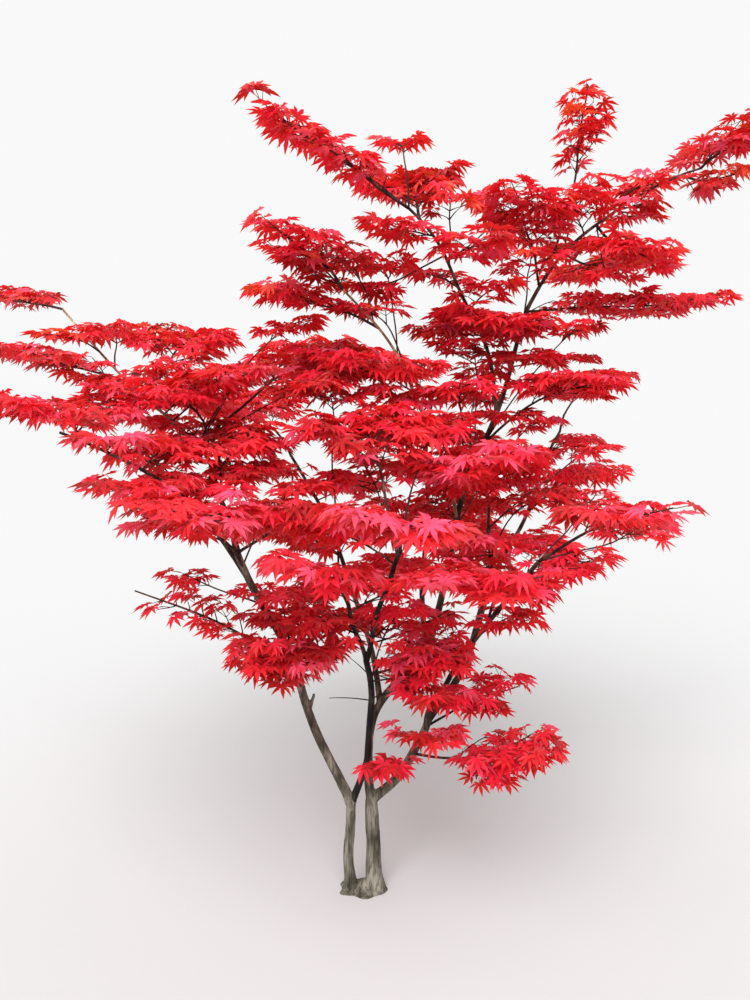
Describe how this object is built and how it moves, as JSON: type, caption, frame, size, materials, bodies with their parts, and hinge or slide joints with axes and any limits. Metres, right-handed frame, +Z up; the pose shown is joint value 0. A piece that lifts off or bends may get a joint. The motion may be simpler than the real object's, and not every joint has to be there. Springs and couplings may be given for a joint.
{
  "type": "japanese maple sapling",
  "caption": "Young two-stemmed Japanese maple in red leaf, with forked boughs and flat tiers of lobed leaves, cut flat at ground level.",
  "frame": {"origin": "on the ground between the two stems, in the middle of the flat cut under the root flare", "axes": "+Z up, +X to the right and +Y away from the side that the crown is seen from"},
  "size_m": [2.4064, 1.9016, 2.3634],
  "materials": {
    "bark_grey": "rough bark",
    "bark_dark": "rough bark",
    "bark_tan": "smooth bark",
    "leaves_red": "matt leaf",
    "leaves_deep_red": "matt leaf",
    "leaves_bright_red": "matt leaf"
  },
  "bodies": {
    "root": {"trunk": "bark_grey", "left_stem": "bark_grey", "left_bough": "bark_grey", "left_outer": "bark_grey", "left_middle": "bark_grey", "left_upper": "bark_tan", "centre_bough": "bark_dark", "centre_left": "bark_dark", "centre_right": "bark_dark", "inner_bough": "bark_grey", "leader": "bark_grey", "leader_right": "bark_grey", "leader_left": "bark_grey", "upper_left": "bark_tan", "right_bough": "bark_grey", "right_outer": "bark_grey", "right_front": "bark_grey", "back_left": "bark_grey", "back_right": "bark_grey", "back_centre": "bark_grey", "top": "leaves_red", "right_tip": "leaves_deep_red", "right_shoulder": "leaves_bright_red", "right_shelf": "leaves_red", "crown_centre": "leaves_deep_red", "crown_back": "leaves_bright_red", "crown_inner": "leaves_red", "upper_left_cloud": "leaves_deep_red", "upper_left_tip": "leaves_bright_red", "left_high": "leaves_red", "left_high_low": "leaves_deep_red", "left_far_high": "leaves_bright_red", "left_far_mid": "leaves_red", "left_tier": "leaves_deep_red", "left_tier_top": "leaves_bright_red", "left_mass": "leaves_red", "left_low_mass": "leaves_deep_red", "left_tip": "leaves_bright_red", "left_front": "leaves_red", "left_front_inner": "leaves_deep_red", "low_left": "leaves_bright_red", "lower_left": "leaves_red", "centre_left_mass": "leaves_deep_red", "centre_front": "leaves_bright_red", "centre_top": "leaves_red", "centre_low": "leaves_deep_red", "right_low": "leaves_bright_red", "right_front_top": "leaves_red", "right_front_low": "leaves_deep_red", "right_centre": "leaves_bright_red", "right_big": "leaves_red", "right_side": "leaves_deep_red", "right_tier": "leaves_bright_red", "low_right": "leaves_red", "low_centre": "leaves_deep_red", "back_left_mass": "leaves_bright_red", "back_centre_mass": "leaves_red", "back_right_mass": "leaves_deep_red", "back_low": "leaves_bright_red", "back_left_low": "leaves_red"}
  },
  "joints": []
}
